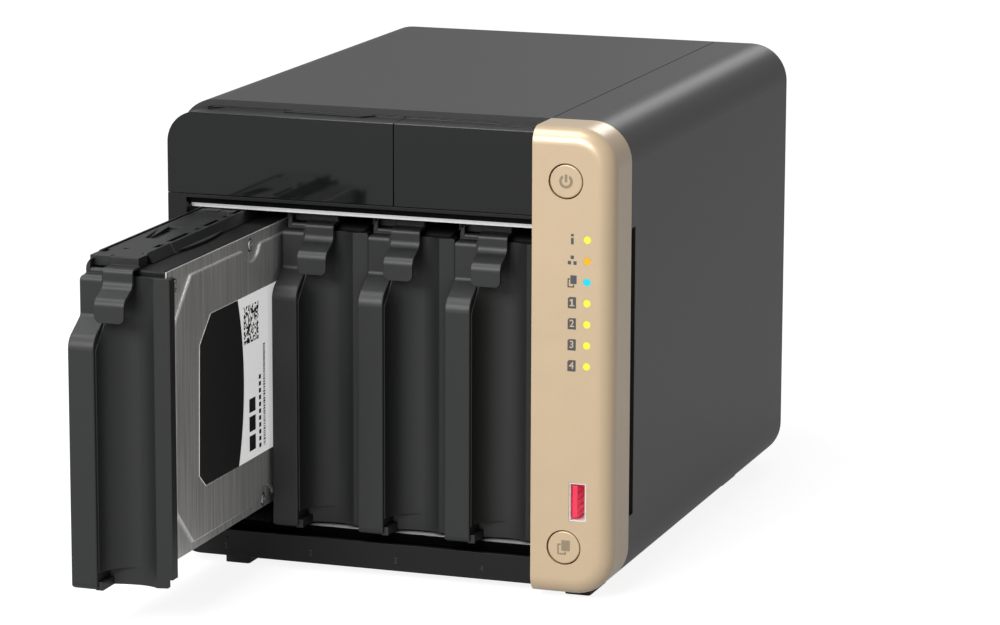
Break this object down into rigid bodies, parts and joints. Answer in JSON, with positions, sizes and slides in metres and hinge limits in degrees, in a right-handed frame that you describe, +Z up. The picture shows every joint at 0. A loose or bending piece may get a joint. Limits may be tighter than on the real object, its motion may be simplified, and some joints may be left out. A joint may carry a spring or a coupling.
{
  "type": "network storage enclosure",
  "caption": "Desktop box with a rounded shell, an upright control strip, and disk trays that slide out in front with finger latches.",
  "frame": {"origin": "on the plane of the feet, under the middle of the whole part's bounding box with tray 1 standing open as at rest", "axes": "+Z up; -Y towards the user, out of the front; +X to the right seen from the front"},
  "size_m": [0.17, 0.3218, 0.168],
  "materials": {
    "painted_shell": "fine matt texture",
    "black_moulding": "matt",
    "gloss_fascia": "glossy",
    "dark_frame": "satin",
    "champagne_bezel": "satin",
    "rubber": "matt",
    "lamp_yellow": "clear, lit",
    "lamp_orange": "clear, lit",
    "lamp_cyan": "clear, lit",
    "circuit_board": "solder mask",
    "plated_steel": "zinc plated",
    "port_red": "moulded",
    "brass_posts": "turned",
    "bare_aluminium": "extruded",
    "cable_grey": "ribbed",
    "cable_black": "sheathed",
    "screw_steel": "nickel plated",
    "drive_casting": "dark coated casting",
    "drive_lid": "vertical brush marks",
    "label_paper": "printed film",
    "tray_plastic": "fine grain"
  },
  "bodies": {
    "shell": {"left_cover": "painted_shell", "right_cover": "painted_shell", "side_vent_insert": "black_moulding", "fascia_left": "gloss_fascia", "fascia_right": "gloss_fascia", "front_frame": "dark_frame", "control_bezel": "champagne_bezel", "foot_pads": "rubber", "status_light_pipes": "lamp_yellow", "network_light_pipe": "lamp_orange", "copy_light_pipe": "lamp_cyan", "front_io_board": "circuit_board", "tact_switches": "black_moulding", "front_usb_shell": "plated_steel", "front_usb_tongue": "port_red", "chassis_roof": "plated_steel", "chassis_tub": "plated_steel", "bay_guides": "black_moulding", "main_board": "circuit_board", "board_standoffs": "brass_posts", "heatsink": "bare_aluminium", "memory_modules": "circuit_board", "backplane": "circuit_board", "drive_sockets": "black_moulding", "front_ribbon": "cable_grey", "rear_panel": "painted_shell", "video_port": "plated_steel", "rear_usb_ports": "plated_steel", "network_jacks": "plated_steel", "power_inlet": "black_moulding", "expansion_bracket": "plated_steel", "panel_screws": "screw_steel", "fan_frame": "black_moulding", "fan_screws": "screw_steel", "fan_cable": "cable_black"},
    "tray_1": {"tray_1_carrier": "tray_plastic", "tray_1_latch_pin": "screw_steel", "drive_1_casting": "drive_casting", "drive_1_lid": "drive_lid", "drive_1_board": "circuit_board", "drive_1_label": "label_paper", "drive_1_screws": "screw_steel", "drive_1_connector": "black_moulding"},
    "latch_1": {"tray_1_latch": "tray_plastic"},
    "tray_2": {"tray_2_carrier": "tray_plastic", "tray_2_latch_pin": "screw_steel", "drive_2": "drive_casting"},
    "latch_2": {"tray_2_latch": "tray_plastic"},
    "tray_3": {"tray_3_carrier": "tray_plastic", "tray_3_latch_pin": "screw_steel", "drive_3": "drive_casting"},
    "latch_3": {"tray_3_latch": "tray_plastic"},
    "tray_4": {"tray_4_carrier": "tray_plastic", "tray_4_latch_pin": "screw_steel", "drive_4": "drive_casting"},
    "latch_4": {"tray_4_latch": "tray_plastic"},
    "power_button": {"power_button": "champagne_bezel"},
    "copy_button": {"copy_button": "champagne_bezel"},
    "fan_rotor": {"fan_rotor": "black_moulding"}
  },
  "joints": [
    {"name": "tray_1_slide", "type": "slide", "parent": "shell", "child": "tray_1", "axis": [0, -1, 0], "range_m": [-0.1017, 0.09]},
    {"name": "latch_1_lift", "type": "hinge", "parent": "tray_1", "child": "latch_1", "pos_m": [-0.0635, -0.14255, 0.12675], "axis": [-1, 0, 0], "range_deg": [0, 9]},
    {"name": "tray_2_slide", "type": "slide", "parent": "shell", "child": "tray_2", "axis": [0, -1, 0], "range_m": [0, 0.19]},
    {"name": "latch_2_lift", "type": "hinge", "parent": "tray_2", "child": "latch_2", "pos_m": [-0.03086, -0.04085, 0.12675], "axis": [-1, 0, 0], "range_deg": [0, 9]},
    {"name": "tray_3_slide", "type": "slide", "parent": "shell", "child": "tray_3", "axis": [0, -1, 0], "range_m": [0, 0.19]},
    {"name": "latch_3_lift", "type": "hinge", "parent": "tray_3", "child": "latch_3", "pos_m": [0.00178, -0.04085, 0.12675], "axis": [-1, 0, 0], "range_deg": [0, 9]},
    {"name": "tray_4_slide", "type": "slide", "parent": "shell", "child": "tray_4", "axis": [0, -1, 0], "range_m": [0, 0.19]},
    {"name": "latch_4_lift", "type": "hinge", "parent": "tray_4", "child": "latch_4", "pos_m": [0.03442, -0.04085, 0.12675], "axis": [-1, 0, 0], "range_deg": [0, 9]},
    {"name": "power_press", "type": "slide", "parent": "shell", "child": "power_button", "axis": [0, 1, 0], "range_m": [0, 0.0008]},
    {"name": "copy_press", "type": "slide", "parent": "shell", "child": "copy_button", "axis": [0, 1, 0], "range_m": [0, 0.0008]},
    {"name": "fan_spin", "type": "hinge", "parent": "shell", "child": "fan_rotor", "pos_m": [-0.0127, 0.14185, 0.0744], "axis": [0, 1, 0], "continuous": true}
  ]
}
